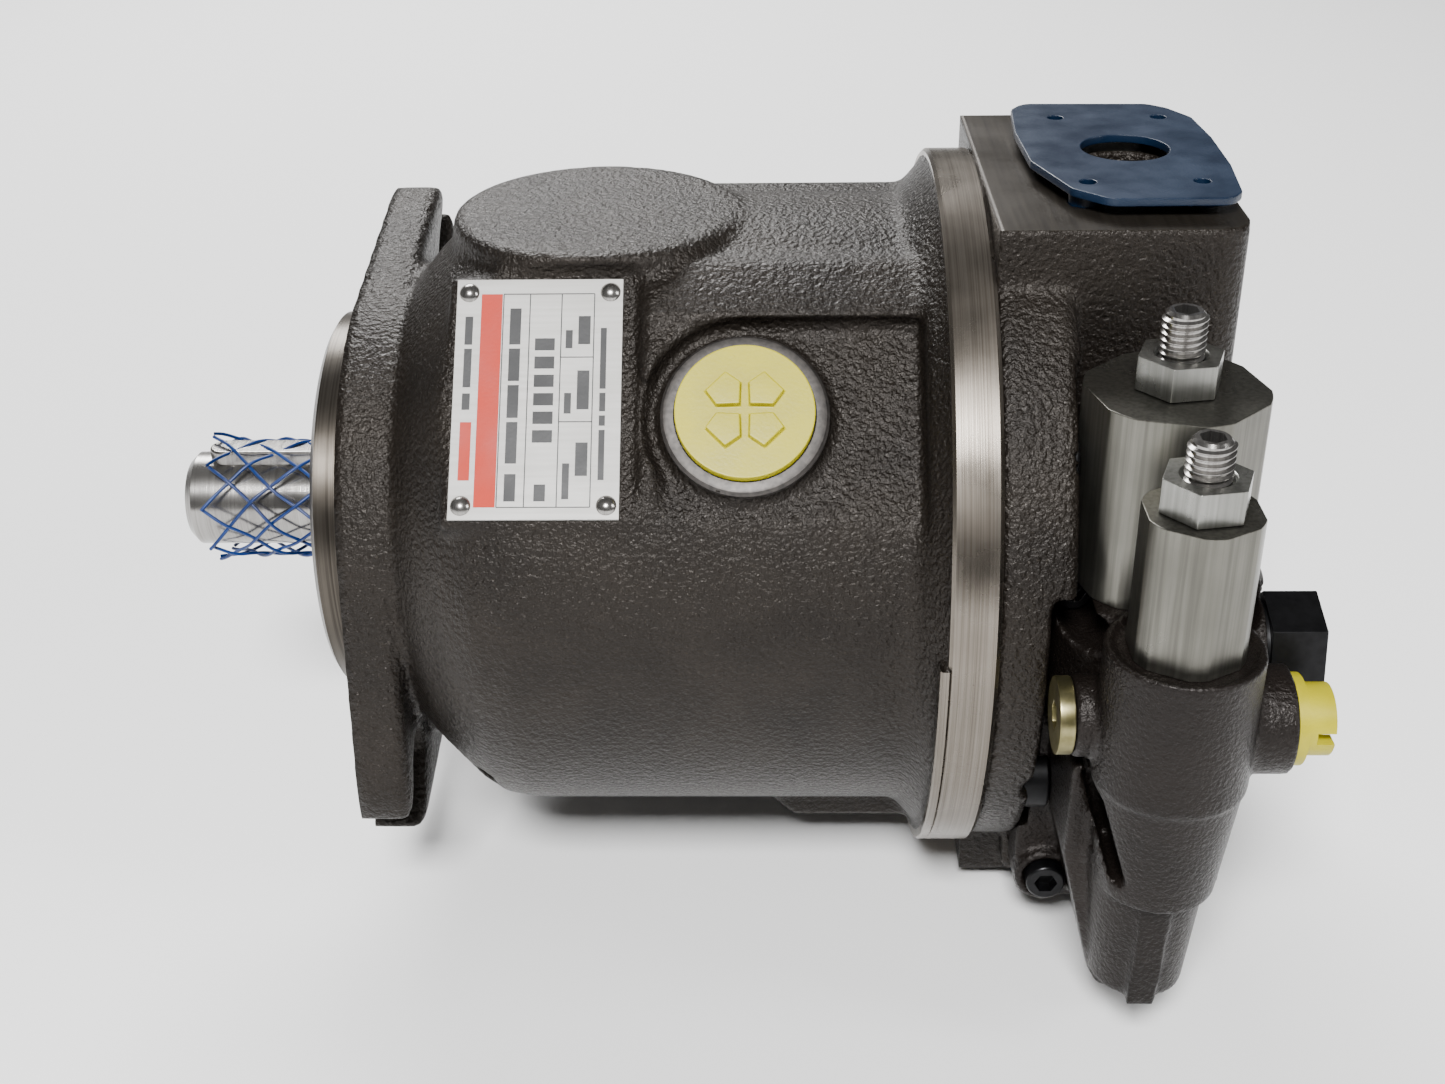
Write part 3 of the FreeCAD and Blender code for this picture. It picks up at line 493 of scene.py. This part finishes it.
labelSpec = {"rules": (41.6, 47.8, 55.2, 62.8), "reach": (-26.4, 25.6), "dividers": (-6.0, 9.8)}
labelQuads("labelStripe", [(36.4, 41.3, -26.4, 25.6), (32.6, 35.2, -20, -6)], 0.02, materials["stripe"])
ruled = []
low, high = labelSpec["reach"]
for x in labelSpec["rules"]:
    ruled.append((x - 0.12, x + 0.12, low, high))
for s in labelSpec["reach"]:
    ruled.append((labelSpec["rules"][0], labelSpec["rules"][3], s - 0.12, s + 0.12))
for s in labelSpec["dividers"]:
    ruled.append((labelSpec["rules"][2], labelSpec["rules"][3], s - 0.12, s + 0.12))
for x0, x1, words in (
        (32.8, 34.6, ((-3, 1), (2.5, 12), (13, 20))),
        (43.2, 45.8, ((-25, -18.5), (-16, -6), (-5, 3), (4, 12), (13, 22))), (50.0, 52.6, ((-25, -21),)),
        (49.2, 53.8, ((-11, -8), (-6.5, -3.5), (-2, 1), (2.5, 5.5), (7, 10), (11.5, 14.5))),
        (56.3, 57.9, ((-24.5, -16), (-4, 1), (12, 16.5))), (59.2, 62.0, ((-19, -11), (-3, 6.5), (13, 20))),
        (64.4, 65.8, ((-20, -8), (-7, -4.5), (-3.5, 1), (2, 17)))):
    for s0, s1 in words:
        ruled.append((x0, x1, s0, s1))
labelQuads("labelPrint", ruled, 0.03, materials["ink"])


def helixStrand(pieceName, phase, direction, spec):
    curve = bpy.data.curves.new(pieceName, "CURVE")
    curve.dimensions = "3D"
    curve.bevel_depth = spec["thick"] * mm
    curve.bevel_resolution = 2
    line = curve.splines.new("NURBS")
    count = spec["points"]
    line.points.add(count - 1)
    shift = random.uniform(-0.8, 0.8)
    for i in range(count):
        t = i / (count - 1)
        x = spec["start"] + (spec["end"] - spec["start"]) * t + shift * (1 - t)
        angle = phase + direction * spec["twist"] * t + 0.05 * math.sin(9 * t + phase)
        flare = spec["flare"] * max(0.0, 0.22 - t) / 0.22
        lift = 0.42 * direction * math.cos(spec["cells"] * math.pi * t)
        radius = spec["radius"] + lift + flare * (0.6 + 0.4 * math.sin(5 * phase))
        line.points[i].co = (x * mm, radius * math.sin(angle) * mm, radius * math.cos(angle) * mm, 1)
    line.order_u = 3
    line.use_endpoint_u = True
    strand = bpy.data.objects.new(pieceName, curve)
    scene.collection.objects.link(strand)
    return strand


netSpec = {"strands": 9, "radius": 15.5, "thick": 0.45, "start": -45.0, "end": -10.3, "points": 40,
           "twist": math.radians(117), "cells": 6, "flare": 2.4}
strands = []
for i in range(netSpec["strands"]):
    for direction in (1, -1):
        phase = 2 * math.pi * i / netSpec["strands"] + 0.15
        strands.append(helixStrand("netStrand", phase, direction, netSpec))
deselectAll()
for strand in strands:
    strand.select_set(True)
bpy.context.view_layer.objects.active = strands[0]
bpy.ops.object.convert(target="MESH")
bpy.ops.object.join()
net = bpy.context.object
net.name = "netSleeve"
activate(net)
bpy.ops.object.shade_smooth()
dress(net, "shaft_net", "blue_net", "shaft_net")
print("pieces made")

floorSpec = {"size": 6.0, "height": -95.4}
deselectAll()
bpy.ops.mesh.primitive_plane_add(size=floorSpec["size"], location=(0.1, 0, floorSpec["height"] * mm))
floor = bpy.context.object
floor.name = "floor"
floorMaterial, tree, shader = shaderMaterial("paleFloor", (0.93, 0.93, 0.93), 0.0, 0.9)
floor.data.materials.append(floorMaterial)

world = bpy.data.worlds.new("studio")
scene.world = world
world.use_nodes = True
world.node_tree.nodes["Background"].inputs[0].default_value = (1.0, 0.99, 0.97, 1)
world.node_tree.nodes["Background"].inputs[1].default_value = 0.13


def areaLight(name, place, target, size, power):
    lamp = bpy.data.lights.new(name, "AREA")
    lamp.shape = "RECTANGLE"
    lamp.size, lamp.size_y = size
    lamp.energy = power
    holder = bpy.data.objects.new(name, lamp)
    scene.collection.objects.link(holder)
    holder.location = place
    holder.rotation_euler = (Vector(target) - Vector(place)).to_track_quat("-Z", "Y").to_euler()


areaLight("keyLight", (-0.05, -1.15, 1.25), (0.1, 0.05, 0), (0.5, 0.4), 58)
areaLight("fillLight", (1.5, -0.5, 0.75), (0.15, 0, 0), (0.4, 0.5), 10)
areaLight("backLight", (-0.3, 1.3, 1.1), (0.1, 0.2, 0), (0.9, 0.6), 40)

cameraSpec = {"place": (0.101617, -0.426695, 0.224773), "pitch": 29.265, "yaw": -1.457, "roll": -0.874,
              "lens": 44.453}
pitch, yaw, roll = [math.radians(cameraSpec[key]) for key in ("pitch", "yaw", "roll")]
ahead = Vector((math.sin(yaw) * math.cos(pitch), math.cos(yaw) * math.cos(pitch), -math.sin(pitch)))
side = Vector((math.cos(yaw), -math.sin(yaw), 0))
above = side.cross(ahead)
sideRolled = side * math.cos(roll) + above * math.sin(roll)
aboveRolled = above * math.cos(roll) - side * math.sin(roll)
cameraData = bpy.data.cameras.new("camera")
cameraData.lens = cameraSpec["lens"]
cameraData.sensor_width = 36
cameraData.sensor_fit = "HORIZONTAL"
camera = bpy.data.objects.new("camera", cameraData)
scene.collection.objects.link(camera)
turn = Matrix((sideRolled, aboveRolled, -ahead)).transposed()
camera.matrix_world = Matrix.Translation(cameraSpec["place"]) @ turn.to_4x4()
scene.camera = camera
print("stage set")
